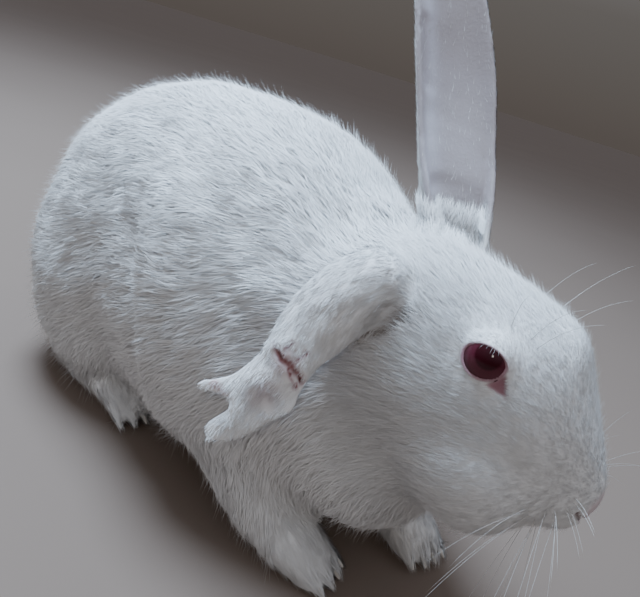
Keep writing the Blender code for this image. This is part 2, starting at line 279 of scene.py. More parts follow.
class Surface:
    """The arrays of a triangle mesh, for measuring and moving its points."""

    def __init__(self, thing):
        self.thing, mesh = thing, thing.data
        self.place = read(mesh.vertices).astype(float)
        self.edges = read(mesh.edges, 2, np.int32, "vertices")
        self.faces = read(mesh.polygons, 3, np.int32, "vertices")
        self.count = len(self.place)
        self.measure()

    def measure(self):
        corners = self.place[self.faces]
        flat = np.cross(corners[:, 1] - corners[:, 0], corners[:, 2] - corners[:, 0])
        self.area = np.linalg.norm(flat, axis=1) / 2
        total = np.zeros((self.count, 3))
        for axis in range(3):
            for corner in self.faces.T:
                total[:, axis] += np.bincount(corner, flat[:, axis], self.count)
        self.normal = unit(total)

    def on(self, start):
        """Which points are on the parts whose names start this way."""
        return is_part(self.label, start)

    def near(self, place, reach):
        """1 at a place and falling off round it; both are in mm."""
        return bell(away(self.place, in_mm(place)) / (reach * MM))

    def ease(self, rounds, share=0.5, hold=None):
        self.place = self.spread(self.place, rounds, share, hold)

    def write(self):
        self.thing.data.vertices.foreach_set("co", self.place.ravel().astype(np.float32))
        self.thing.data.update()

    def spread(self, values, rounds, share=0.5, hold=None):
        """Evens out values from each point to its neighbours; hold, 0 to 1, slows it."""
        values = np.array(values, float)
        pull = share if hold is None else share * (1 - hold)[:, None]
        rows = even_out(values.reshape(self.count, -1), self.edges, pull, rounds)
        return rows.reshape(values.shape)


# ---- the skin


def flesh_labels(places):
    """For each place, the number of the flesh node whose surface is nearest."""
    verts, faces, owner = [], [], []
    for number, name in enumerate(FLESH):
        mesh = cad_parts[name].data
        base = len(verts)
        verts.extend(vert.co.copy() for vert in mesh.vertices)
        faces.extend([base + i for i in face.vertices] for face in mesh.polygons)
        owner.extend([number] * len(mesh.polygons))
    tree = BVHTree.FromPolygons(verts, faces)
    return np.array([owner[tree.find_nearest(Vector(place))[2]] for place in places])


def is_part(labels, start):
    wanted = [i for i, name in enumerate(FLESH) if name.startswith(start)]
    return np.isin(labels, wanted)


def on_body(labels):
    return np.isin(labels, range(len(BODY)))


def by_part(labels, column):
    """The coat's value for each label's part."""
    values = np.zeros(len(labels))
    for part, row in COAT.items():
        values[is_part(labels, part)] = row[column]
    return values


def make_skin():
    """All the flesh as one surface, still out at the tips of the coat."""
    rough = melt("rough", [node_mesh(name, SEAM) for name in ROUGH], ROUGH_VOXEL, ROUGH_EASE)
    parts = [node_mesh(name, SEAM) for name in FINE + EYES]
    soft = bmesh.new()
    soft.from_mesh(rough.data)
    bpy.data.objects.remove(rough)
    skin = melt("skin", [soft, *parts], FINE_VOXEL, 3)
    plain = on_body(flesh_labels([vert.co for vert in skin.data.vertices]))
    group = skin.vertex_groups.new(name="plain")
    for chosen, weight in ((plain, 1.0), (~plain, DETAIL_WEIGHT)):
        group.add(np.flatnonzero(chosen).tolist(), weight, "REPLACE")
    thin_out(skin, SKIN_KEEP, "plain")
    skin.vertex_groups.clear()
    return skin


def refine(skin, point, radius):
    """More, smaller faces within a radius of a point."""
    bm = bmesh.new()
    bm.from_mesh(skin.data)
    inside = {v for v in bm.verts if (v.co - point).length < radius}
    edges = [e for e in bm.edges if inside.issuperset(e.verts)]
    bmesh.ops.subdivide_edges(bm, edges=edges, cuts=1, use_grid_fill=True)
    bmesh.ops.triangulate(bm, faces=bm.faces)
    near = [v for v in bm.verts if (v.co - point).length < radius]
    for _ in range(2):
        bmesh.ops.smooth_vert(bm, verts=near, factor=0.4)
    bm.to_mesh(skin.data)
    bm.free()


# Grooves: points in the head's frame, depth and half width, all in mm, on both sides.
# The skin is painted dark along these grooves: painted shade in the creases.
FACE_GROOVES = (
    (((46.4, 0.3, -42.0), (44.8, 3.0, -40.8), (42.8, 5.4, -39.4), (40.8, 7.2, -37.2)), 1.9, 0.7),
    (((46.6, 0, -41.0), (45.0, 0, -44.5), (42.5, 0, -47.5), (39, 0, -49.5)), 0.9, 0.7),
    (((40.5, 0, -48.5), (38, 5, -48.5), (34, 9.5, -47.5), (28, 13, -46)), 1.3, 0.9),
)
# On the hanging ear, in the model's own frame in mm: the healed wound, the wrinkles that run into
# it, and the edge where the ear rests on the cheek, along which a dark brown shadow is painted.
SCAR_GROOVES = (
    (((75.5, -65.0, 103.4), (78.3, -64.6, 101.4), (80.6, -63, 101.3), (84.3, -59.1, 96.4)), 1.8, 1.0),
    (((73.0, -64.6, 105.0), (75, -64.8, 104), (77.7, -64.8, 101.6)), 0.9, 0.7),
    (((78.5, -64.2, 101.8), (77.2, -63, 105), (78.0, -61.4, 107.5)), 0.7, 0.5),
    (((81.5, -62, 100.6), (81.2, -60.6, 104), (82.4, -58.6, 106)), 0.6, 0.5),
    (((80.6, -63.4, 100.4), (81.6, -63, 97.5), (83.2, -61, 94.5)), 0.9, 0.6),
)
SCAR_MIDDLE, PRONG_TIP = in_mm((79.0, -63.5, 101.5)), in_mm((58.0, -73.5, 82.0))
EAR_ROOT = in_mm((74, 3, 147))  # the middle of the standing ear's root
ROOT_GROOVES = (
    (((97, -36, 125.5), (95.8, -38.5, 120), (92.9, -40.3, 115.8), (90.2, -41.7, 111.6)), 2.2, 1.3),
)


def on_both_sides(grooves):
    """The grooves of one side of the head and of the other, as places in the model."""
    for points, depth, half_width in grooves:
        for sign in (1, -1):
            if sign > 0 or any(left for _, left, _ in points):
                line = [in_head(ahead, sign * left, up) for ahead, left, up in points]
                yield line, depth, half_width


def in_model(grooves):
    for points, depth, half_width in grooves:
        yield [in_mm(point) for point in points], depth, half_width


def groove(surface, tree, points, depth, half_width, wander):
    """Presses a line into the surface, through the nearest surface places to its points."""
    line = [tree.find_nearest(point)[0] for point in points]
    place = surface.place
    if wander:
        place = place.copy()
        for i in np.flatnonzero(away(place, line[0]) < 25 * MM):
            place[i] += np.array(noise.noise_vector(Vector(place[i]) / (1.6 * MM))) * wander * MM
    nearest = np.full(surface.count, np.inf)
    for start, end in zip(line, line[1:]):
        a, along = np.array(start), np.array(end - start)
        t = np.clip((place - a) @ along / (along @ along), 0, 1)
        nearest = np.minimum(nearest, np.linalg.norm(place - a - t[:, None] * along, axis=1))
    across = nearest / MM / half_width
    press = bell(across) - 0.22 * bell(across - 2.1)
    surface.place -= surface.normal * (depth * MM * press)[:, None]
    return bell(nearest / (1.3 * half_width * MM))


def grooves(surface, rows, wander=0.0):
    """Presses several grooves in, and gives how near each point is to one, 0 to 1. Their lines
    wander by up to this many mm."""
    tree = BVHTree.FromPolygons(surface.place.tolist(), surface.faces.tolist())
    return np.maximum.reduce([groove(surface, tree, *row, wander) for row in rows])


# The flank's fur ends in a soft step in front of the haunch: height and x of its edge, in mm.
FLANK_EDGE = ((12, 3), (45, 5), (64, 6), (84, 2), (97, -6), (110, -16), (124, -32))


def fold_flank(surface):
    """Sinks the front of each haunch under the edge of the flank's fur."""
    x, y, z = surface.place.T / MM
    heights, spots = zip(*FLANK_EDGE)
    behind = np.interp(z, heights, spots) - x
    outward = step(np.abs(surface.normal[:, 1]), 0.25, 0.65) * step(np.abs(y), 36, 48)
    press = 6.2 * step(behind, -3, 4) * np.exp(-np.maximum(behind, 0) / 24)
    press *= outward * step(z, 10, 30) * (1 - step(z, 98, 124))
    surface.place -= surface.normal * press[:, None] * MM


def form_muzzle(surface):
    """Narrows the muzzle towards the nose and swells the nose pad."""
    offset = (surface.place - np.array(in_head(0, 0, 0))) / MM
    ahead, left, up = offset @ np.array(HEAD_AHEAD), offset @ np.array(HEAD_LEFT), offset[:, 2]
    share = 0.34 * step(ahead, 27, 46) * step(up, -58, -46) * (1 - step(up, -26, -8))
    surface.place -= np.array(HEAD_LEFT) * (left * share)[:, None] * MM
    surface.place += np.array(HEAD_AHEAD) * (1.4 * MM * step(ahead, 22, 42))[:, None]
    pad = bell(away(surface.place, in_head(46, 0, -37)) / (5.5 * MM))
    surface.place += surface.normal * (1.3 * MM * pad)[:, None]
    surface.measure()


# The opening of the lids, in eye radii: half its length, then half its height over and under.
OPEN_LONG, OPEN_OVER, OPEN_UNDER = 0.66, 0.43, 0.56
LID_RISE, LID_WIDE = 0.45 * MM, 1.55
BROW_EASE, BROW_ROUNDS = 0.6, 140
# The pink corner in front of and under the eye: its way, ahead and up, and where it starts and
# ends along that way and its half width, in eye radii.
CORNER_WAY, CORNER_FROM, CORNER_TO, CORNER_HALF = (0.81, -0.59), 0.645, 1.46, 0.36


def eye_axes(side, ahead=0.0, up=0.22):
    """Outward, forward and upward directions of an eye that looks ahead and up by these shares."""
    sign = 1 if side == "left" else -1
    out = head_way(ahead, sign, up)
    forward = (head_way(1, 0, 0) - out * head_way(1, 0, 0).dot(out)).normalized()
    return np.array(out), np.array(forward), np.array(forward.cross(out) * sign)


def opening(way, axes):
    """How far a direction from the eye's centre is from its axis: 1 is the edge of the lids."""
    out, forward, up = axes
    x, z = way @ forward, way @ up
    height = np.where(z > 0, OPEN_OVER, OPEN_UNDER)
    return np.where(way @ out > 0, np.sqrt((x / OPEN_LONG) ** 2 + (z / height) ** 2), 9)


def form_lids(surface, side):
    """Wraps the skin round the eye up to an opening with a rounded rim."""
    axes = eye_axes(side)
    centre = np.array(EYE_SEAT[side])
    offset = surface.place - centre
    distance = np.linalg.norm(offset, axis=1)
    way = unit(offset)
    reach = opening(way, axes)
    over = step(way @ axes[2], 0.05, 0.45)
    inside = EYE_RADIUS - 2.2 * MM
    lid = inside + (EYE_RADIUS + LID_RISE - inside) * step(reach, 0.90, 1.06)
    lid += (0.10 + 0.25 * over) * MM * bell((reach - 1.16) / 0.09)
    blend = 1 - step(reach, 1.12, LID_WIDE)
    blend *= 1 - step(distance, 1.35 * EYE_RADIUS, 1.9 * EYE_RADIUS)
    wanted = centre + way * lid[:, None]
    surface.place += (wanted - surface.place) * blend[:, None]
    crease = over * bell((reach - 1.42) / 0.08) * (distance < 1.6 * EYE_RADIUS)
    surface.place -= axes[0] * (0.35 * MM * crease)[:, None]
    offset = surface.place - centre
    distance = np.linalg.norm(offset, axis=1)
    proud = np.maximum(EYE_RADIUS + 0.35 * MM - distance, 0) * step(reach, 0.98, 1.08)
    surface.place += unit(offset) * (proud * (distance > 0.5 * EYE_RADIUS))[:, None]
    near = distance < 1.5 * EYE_RADIUS
    surface.reach = np.where(near, np.minimum(surface.reach, reach), surface.reach)
    ease_brow(surface, centre)
    form_corner(surface, centre, axes)


def ease_brow(surface, centre):
    """Evens out the skin between the lids and the rest of the head, and keeps it off the eye."""
    distance = away(surface.place, centre) / EYE_RADIUS
    free = BROW_EASE * step(surface.reach, 1.10, 1.5) * (1 - step(distance, 1.9, 2.9))
    near = np.flatnonzero(distance < 3.2)
    number = np.full(surface.count, -1)
    number[near] = np.arange(len(near))
    edges = number[surface.edges]
    edges = edges[(edges >= 0).all(axis=1)]
    place = even_out(surface.place[near], edges, free[near][:, None], BROW_ROUNDS)
    offset = place - centre
    lack = np.maximum(EYE_RADIUS + 0.35 * MM - np.linalg.norm(offset, axis=1), 0)
    lack *= step(surface.reach[near], 0.98, 1.08)
    surface.place[near] = place + unit(offset) * lack[:, None]


def form_corner(surface, centre, axes):
    """Presses in the pink corner that runs down from the front of the eye."""
    out, forward, up = axes
    offset = (surface.place - centre) / EYE_RADIUS
    x, z, height = offset @ forward, offset @ up, offset @ out
    along = x * CORNER_WAY[0] + z * CORNER_WAY[1]
    across = x * CORNER_WAY[1] - z * CORNER_WAY[0]
    half = CORNER_HALF * np.clip((CORNER_TO - along) / (CORNER_TO - CORNER_FROM), 0.02, 1)
    inside = step(along, CORNER_FROM, CORNER_FROM + 0.12)
    inside *= 1 - step(along, CORNER_TO - 0.1, CORNER_TO)
    inside *= (height > 0.1) * (away(offset) < 1.8)
    sunk = inside * (1 - step(np.abs(across) / half, 0.5, 1.25))
    floor = 0.66 - 0.10 * (along - 0.68)
    sink = np.minimum(np.maximum(height - floor, 0.05), 0.16)
    surface.place -= out * (sink * sunk * EYE_RADIUS)[:, None]
    surface.tear = np.maximum(surface.tear, inside * (1 - step(np.abs(across) / half, 0.8, 1.3)))


def ear_facing(surface, name, opening_way):
    """1 where an ear's surface faces the way its hollow opens, 0 on its back."""
    facing = surface.normal @ np.array(Vector(opening_way).normalized())
    return surface.on(name) * step(facing, -0.05, 0.35)


LEFT_OPENS, RIGHT_OPENS = (0.80, -0.52, 0.30), (-0.30, 0.85, -0.45)
# In the hollow of the standing ear, in the model's own frame in mm: a short fold, darkened with
# painted shade, and a raised band along it, made paler with painted light.
EAR_FOLDS = (
    (((41, -2.1, 209), (43, -2.1, 205), (46.6, -1.6, 197.2), (50, -1.5, 190)), 0.35, 2.4),
)
EAR_BANDS = (
    ((
        (36, 0, 222), (50, -0.5, 194), (55.3, -1.6, 185), (60, -3.5, 174), (64, -4.5, 161),
        (67, -5, 150),
    ), -0.45, 3.6),
)
# The heights, in mm, between which the standing ear's hollow is filled, above which the filling
# thins out, how full it is, and how far it arches out of a line from rim to rim.
FILL_HEIGHTS, FILL_FADES, FILL_SHARE, FILL_ARCH = (142, 208), 150, 0.85, 0.2 * MM
FILL_VALLEY, FILL_SWELL = (75.5, 11, 143.5), 3.6 * MM  # the low place by the crown, and its rise


def fill_ear_root(surface):
    """Fills the hollow at the root of the standing ear up to a low arch from rim to rim."""
    opens = np.array(Vector(LEFT_OPENS).normalized())
    across = unit(np.cross(opens, (0, 0, 1))[None])[0]
    height, depth, wide = surface.place[:, 2] / MM, surface.place @ opens, surface.place @ across
    on_ear = surface.on("ear_left")
    levels = np.arange(*FILL_HEIGHTS, 2.0)
    rims = []
    for level in levels:
        band = np.flatnonzero(on_ear & (np.abs(height - level) < 1.5))
        ends = band[[wide[band].argmin(), wide[band].argmax()]]
        rims.append((*wide[ends], *depth[ends]))
    start, end, start_depth, end_depth = (np.interp(height, levels, row) for row in np.array(rims).T)
    share = np.clip((wide - start) / (end - start), 0, 1)
    arch = start_depth + (end_depth - start_depth) * share + FILL_ARCH * np.sin(math.pi * share)
    between = np.clip(6 * share, 0, 1) * np.clip(6 - 6 * share, 0, 1)
    hollow = on_ear * between * (surface.normal @ opens > -0.3)
    hollow = hollow * (1 - step(height, FILL_FADES, FILL_HEIGHTS[1]))
    push = np.maximum(arch - depth, 0) * FILL_SHARE * hollow
    surface.place += opens * surface.spread(push, 5)[:, None]
    surface.ease(14, hold=1 - hollow)
    by_root = 1 - step(away(surface.place, EAR_ROOT + in_mm((4, 0, -2))), 5 * MM, 11 * MM)
    free = by_root * np.where(surface.on("head"), 1, hollow)
    surface.ease(30, hold=1 - free)
    way = unit(np.array((0.5, -0.3, 0.8))[None])[0]
    swell = FILL_SWELL * surface.near(FILL_VALLEY, 6.5)
    surface.place += way * (swell * (surface.normal @ way > -0.1))[:, None]
    surface.ease(6, hold=1 - free)
    surface.measure()


def round_heels(surface):
    """Rounds the heels of the hind feet."""
    low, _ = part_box("hind_foot_left")
    behind = 1 - step(surface.place[:, 0] - low.x, 8 * MM, 20 * MM)
    surface.ease(40, 0.6, 1 - behind * surface.on("hind_foot"))


# How the hanging ear is drawn out or in, in mm: place, way and reach. First its notch and prong,
# then the hollow of its lobe, then the step from its furry flap down to the lobe.
EAR_DRAGS = (
    ((61.5, -73.2, 79.0), (5.5, 0.8, 0.5), 4.5), ((55.0, -74.0, 81.0), (-4.0, -1.6, -1.8), 5.0),
    ((60.5, -73.5, 74.0), (3.4, 2.1, 1.8), 5.5), ((63.0, -73.0, 77.5), (2.8, 1.7, 1.4), 5.0),
    ((78.0, -67.1, 89.0), (-1.0, 2.6, -1.4), 5.0), ((75.5, -68.4, 83.0), (-0.6, 1.4, -0.8), 5.0),
    ((74.5, -66.5, 98.5), (-0.5, 1.4, -0.7), 4.0), ((81.0, -63.5, 94.0), (-0.5, 1.4, -0.7), 4.0),
    ((77.5, -62.5, 107.5), (0.3, -0.9, 0.5), 5.0), ((85.0, -57.0, 102.0), (0.3, -0.9, 0.5), 5.0),
    ((82.0, -63.5, 88.5), (3.2, 0.8, -1.4), 5.0),
)


def drag_ear(surface):
    """Notches the hanging ear between its lobe and its prong, and draws the prong out."""
    on_ear = surface.on("ear_right")
    for place, way, reach in EAR_DRAGS:
        near = surface.near(place, reach) * on_ear
        surface.place += np.array(way) * (near * MM)[:, None]
    near_scar = surface.near((79, -63, 101), 7) * on_ear
    pucker = np.array([
        noise.noise(Vector(place) / (2.2 * MM)) if near > 0.05 else 0
        for place, near in zip(surface.place, near_scar)
    ])
    surface.place += surface.normal * (0.8 * MM * pucker * near_scar)[:, None]


def shape_skin(skin):
    """Moves the skin in by the depth of the coat, then forms its lids, nose, mouth and ears."""
    surface = Surface(skin)
    surface.label = flesh_labels(surface.place)
    thin = surface.on("ear") | surface.on("forepaw")
    hold = surface.spread(np.where(on_body(surface.label), 0, np.where(thin, 0.85, 0.35)), 6)
    surface.ease(FINE_EASE, hold=hold)
    surface.measure()
    depth = by_part(surface.label, DEPTH) * MM
    front = ahead_in_head(surface.place)
    depth = np.where(surface.on("head"), (4.2 - 2.9 * step(front, -28, 30)) * MM, depth)
    low = 1 - step(surface.place[:, 2], 1 * MM, 9 * MM)
    depth = surface.spread(depth * (1 - 0.75 * low), 14)
    surface.place -= surface.normal * depth[:, None]
    surface.ease(2, 0.4)
    round_heels(surface)
    surface.place[:, 2] = np.maximum(surface.place[:, 2], 0.4 * MM)
    surface.measure()
    fold_flank(surface)
    fill_ear_root(surface)
    form_muzzle(surface)
    surface.crease = grooves(surface, on_both_sides(FACE_GROOVES))
    surface.reach = np.full(surface.count, 9.0)
    surface.tear = np.zeros(surface.count)
    for side in SIDES:
        form_lids(surface, side)
    surface.measure()
    surface.tear = surface.spread(surface.tear, 3)
    surface.scar = grooves(surface, in_model(SCAR_GROOVES), 0.7)
    # The grooves under the hanging ear's edge also give where its painted shadow goes.
    for key, rows in (("stain", ROOT_GROOVES), ("fold", EAR_FOLDS), ("band", EAR_BANDS)):
        setattr(surface, key, grooves(surface, in_model(rows)))
    drag_ear(surface)
    surface.ease(1, 0.3)
    surface.measure()
    surface.depth = depth
    surface.write()
    return surface


# ---- markings and lie of the coat


def ball_mask(places, point, radius, softness):
    return 1 - step(away(places, point), radius * (1 - softness), radius)


# Marks on the hanging ear: middle and radius in mm, and how soft the edge is.
LOP_MARKS = {
    "prong": (((63.6, -72.2, 82.4), 3.2, 0.8), ((60.0, -73.2, 83.0), 3.2, 0.8)),
    "lobe": (((77.8, -67.2, 89.0), 8.5, 0.9),),
    "sore": (((79, -63, 101.5), 7.5, 0.9),),
}


def mark(surface):
    """Where the skin is bare, pink, creamy or scarred, each from 0 to 1."""
    place = surface.place
    above_root = step(place[:, 2], 148 * MM, 156 * MM)
    inner = ear_facing(surface, "ear_left", LEFT_OPENS) * above_root
    inner = np.maximum(inner, ear_facing(surface, "ear_right", RIGHT_OPENS))
    surface.inner = surface.spread(inner, 2)
    surface.nose = ball_mask(place, in_head(48, 0, -38), 9.5 * MM, 0.45)
    surface.lid = bell(np.maximum(surface.reach - 1.03, 0) / 0.11)
    for key, balls in LOP_MARKS.items():
        masks = [ball_mask(place, in_mm(spot), radius * MM, soft) for spot, radius, soft in balls]
        setattr(surface, key, np.maximum.reduce(masks) * surface.on("ear_right"))
    surface.bare = np.clip(np.maximum.reduce([
        surface.lid * 1.2, surface.tear, surface.inner, 0.85 * surface.nose, 1.3 * surface.scar,
        0.45 * surface.sore, 0.35 * surface.lobe, 0.9 * surface.crease, 0.3 * surface.stain,
        0.8 * surface.prong,
    ]), 0, 1)
    surface.blush = np.clip(np.maximum.reduce([
        0.75 * surface.sore, 0.8 * surface.lobe, 0.9 * surface.prong, surface.scar,
    ]), 0, 1)
    crown = ball_mask(place, in_head(-34, 14, 12), 26 * MM, 0.9)
    cheek = ball_mask(place, in_head(-8, -30, -28), 20 * MM, 0.9)
    surface.cream = np.clip(0.8 * crown + 0.5 * cheek, 0, 1)


def lie_of_coat(surface):
    """A unit direction along the skin for each point: the way the hair runs there."""
    place, normal, label = surface.place, surface.normal, surface.label
    way = np.zeros_like(place)
    way[:] = (-1, 0, 0)
    low = 1 - step(place[:, 2], 35 * MM, 75 * MM)
    way[:, 2] = (-0.5 - 0.7 * low) * step(np.abs(normal[:, 1]), 0.1, 0.9)
    low_front = step(normal[:, 0], 0.15, 0.7) * (1 - step(place[:, 2], 80 * MM, 112 * MM))
    way += (np.array((0.1, 0, -1.0)) - way) * low_front[:, None]
    way[is_part(label, "tail")] = (-0.25, 0, 1)
    head = is_part(label, "head")
    tip = np.array(in_head(54, 0, -30))
    way[head] = unit(place[head] - tip) - np.array(HEAD_AHEAD) * 0.4
    for name, run in (
        ("ear_left", (-0.35, 0.0, 1.0)), ("foreleg", (0.45, 0, -1)), ("forepaw", (1, 0, -0.35)),
        ("hind_foot", (1, 0, -0.05)),
    ):
        way[is_part(label, name)] = run
    low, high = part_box("ear_right")
    hang = 1 - step(place[:, 2], low.z + 0.75 * (high.z - low.z), high.z)
    lop = np.c_[-0.10 - 0.15 * hang, -1 + 0.75 * hang, 0.3 - 1.3 * hang]
    on_lop = is_part(label, "ear_right")
    way[on_lop] = lop[on_lop]
    way = surface.spread(unit(way), 160, 0.6)
    for side in SIDES:
        offset = place - np.array(EYE_SEAT[side])
        ring = bell((surface.reach - 1.0) / 0.55) * (away(offset) < 2 * EYE_RADIUS)
        flat = unit(offset - normal * dot(offset, normal)[:, None])
        way = unit(way) + flat * (0.45 * ring)[:, None]
    way -= normal * dot(way, normal)[:, None]
    way = unit(way)
    side = np.cross(normal, way)
    swing = np.array([
        0.45 * noise.noise(Vector(p) / (30 * MM)) + 0.32 * noise.noise(Vector(p) / (9 * MM))
        for p in place
    ])
    swing *= 1 - 0.75 * (head | on_lop)
    return unit(way * np.cos(swing)[:, None] + side * np.sin(swing)[:, None])


# ---- tufts, whiskers and lashes


def strands(name, path, half_width, flatness, normal, across, root_uv, soft, **marks):
    """A mesh of closed three-sided strands. path is strands x rings x 3, its last ring a point.
    Shading normals are the given ones by the share soft, and across is the skin's normal. Each
    of the marks gives one value for each strand."""
    count, rings, _ = path.shape
    run = np.empty_like(path)
    run[:, 1:-1] = path[:, 2:] - path[:, :-2]
    run[:, 0] = path[:, 1] - path[:, 0]
    run[:, -1] = path[:, -1] - path[:, -2]
    run = unit(run)
    side = unit(np.cross(np.broadcast_to(across[:, None], path.shape), run))
    top = np.cross(run, side)
    points, normals = [], []
    for corner in range(3):
        angle = 2 * math.pi * corner / 3 + math.pi / 2
        ray = side[:, :-1] * math.cos(angle) + top[:, :-1] * math.sin(angle) * flatness
        points.append(path[:, :-1] + ray * half_width[:, :-1, None])
        normals.append(unit(ray))
    rows = (rings - 1) * 3 + 1
    place = np.empty((count, rows, 3))
    facing = np.empty((count, rows, 3))
    place[:, :-1] = np.stack(points, axis=2).reshape(count, rows - 1, 3)
    facing[:, :-1] = np.stack(normals, axis=2).reshape(count, rows - 1, 3)
    place[:, -1], facing[:, -1] = path[:, -1], run[:, -1]
    facing = soft * normal[:, None] + (1 - soft) * facing
    faces = [(0, 2, 1)]
    for ring in range(rings - 2):
        for corner in range(3):
            a, b = 3 * ring + corner, 3 * ring + (corner + 1) % 3
            faces += [(a, b, b + 3), (a, b + 3, a + 3)]
    last = 3 * (rings - 2)
    faces += [(last + corner, last + (corner + 1) % 3, rows - 1) for corner in range(3)]
    faces = np.array(faces)
    every = (faces[None] + rows * np.arange(count)[:, None, None]).reshape(-1, 3)
    mesh = bpy.data.meshes.new(name)
    mesh.from_pydata(place.reshape(-1, 3), [], every)
    level = np.r_[np.repeat(np.arange(rings - 1) / (rings - 1), 3), 1.0]
    patch = np.c_[np.r_[np.tile((-0.5, 0.0, 0.5), rings - 1), 0], level - 0.5] * PATCH
    spot = (root_uv[:, None] + patch[None]).reshape(-1, 2)
    layer = mesh.uv_layers.new(name="OFBake")
    layer.uv.foreach_set("vector", spot[every.ravel()].astype(np.float32).ravel())
    marks = {key: np.repeat(values, rows) for key, values in marks.items()}
    put_marks(mesh, {"along": np.tile(level, count), **marks})
    mesh.shade_smooth()
    mesh.normals_split_custom_set_from_vertices(unit(facing.reshape(-1, 3)))
    return link(bpy.data.objects.new(name, mesh))


def finder(places):
    """A function that gives the number of the nearest of these places for each of others."""
    tree = KDTree(len(places))
    for i, place in enumerate(places):
        tree.insert(place, i)
    tree.balance()
    return lambda others: np.array([tree.find(place)[1] for place in others])


def unwrap(skin):
    """The skin's own unwrap, made on a copy with few faces: a function from places to UV."""
    copy = link(skin.copy())
    copy.data = skin.data.copy()
    thin_out(copy, UNWRAP_KEEP)
    bpy.context.view_layer.objects.active = copy
    copy.select_set(True)
    bpy.ops.object.mode_set(mode="EDIT")
    bpy.ops.mesh.select_all(action="SELECT")
    bpy.ops.uv.smart_project(angle_limit=math.radians(66), island_margin=0.004)
    bpy.ops.object.mode_set(mode="OBJECT")
    mesh = copy.data
    spots = read(mesh.uv_layers.active.uv, 2, key="vector").reshape(-1, 3, 2)
    corners = read(mesh.vertices)[read(mesh.polygons, 3, np.int32, "vertices")]
    tree = BVHTree.FromObject(copy, bpy.context.evaluated_depsgraph_get())
    bpy.data.objects.remove(copy)

    def spot_of(places):
        face = np.array([tree.find_nearest(Vector(place))[2] for place in places])
        a, b, c = corners[face].transpose(1, 0, 2)
        e1, e2, d = b - a, c - a, places - a
        d11, d12, d22 = dot(e1, e1), dot(e1, e2), dot(e2, e2)
        p1, p2 = dot(d, e1), dot(d, e2)
        scale = np.maximum(d11 * d22 - d12 * d12, 1e-20)
        v, w = (d22 * p1 - d12 * p2) / scale, (d11 * p2 - d12 * p1) / scale
        v, w = np.clip(v, 0, 1)[:, None], np.clip(w, 0, 1)[:, None]
        uv = spots[face]
        return uv[:, 0] * (1 - v - w) + uv[:, 1] * v + uv[:, 2] * w

    return spot_of


class Roots:
    """Even random roots on the chosen faces, and what the skin is like at each."""

    def __init__(self, surface, way, chosen, density, rng):
        expected = surface.area * density * chosen
        self.total = int(expected.sum())
        face = rng.choice(len(expected), self.total, p=expected / expected.sum())
        u, v = rng.random(self.total), rng.random(self.total)
        flip = u + v > 1
        u[flip], v[flip] = 1 - u[flip], 1 - v[flip]
        self.trio, self.share = surface.faces[face], np.c_[1 - u - v, u, v]
        self.place, self.normal = self.blend(surface.place), unit(self.blend(surface.normal))
        run = self.blend(way)
        self.run = run - self.normal * dot(run, self.normal)[:, None]
        self.depth = self.blend(surface.depth)
        self.part = surface.label[self.trio[:, 0]]
        self.size = tuft_size(self.place, self.part)

    def blend(self, values):
        """The values at each root, from the three points of its face."""
        share = self.share[:, :, None] if values.ndim > 1 else self.share
        return (values[self.trio] * share).sum(axis=1)


def grow_coat(surface, way, spot_of, rng):
    """Fine tufts rooted in the skin, each bent to lie along it and gathered into locks."""
    label = surface.label[surface.faces[:, 0]]
    bare = surface.bare[surface.faces].mean(axis=1)
    density = by_part(label, DENSITY) / MM**2 * (1 - 0.97 * step(bare, 0.3, 0.75))
    nearest = finder(surface.place)
    made = []
    for name, parts, rings in PIECES:
        chosen = np.logical_or.reduce([is_part(label, part) for part in parts])
        roots = Roots(surface, way, chosen, density, rng)
        made += grow_piece(surface, roots, spot_of, rng, nearest, name, rings)
    return made


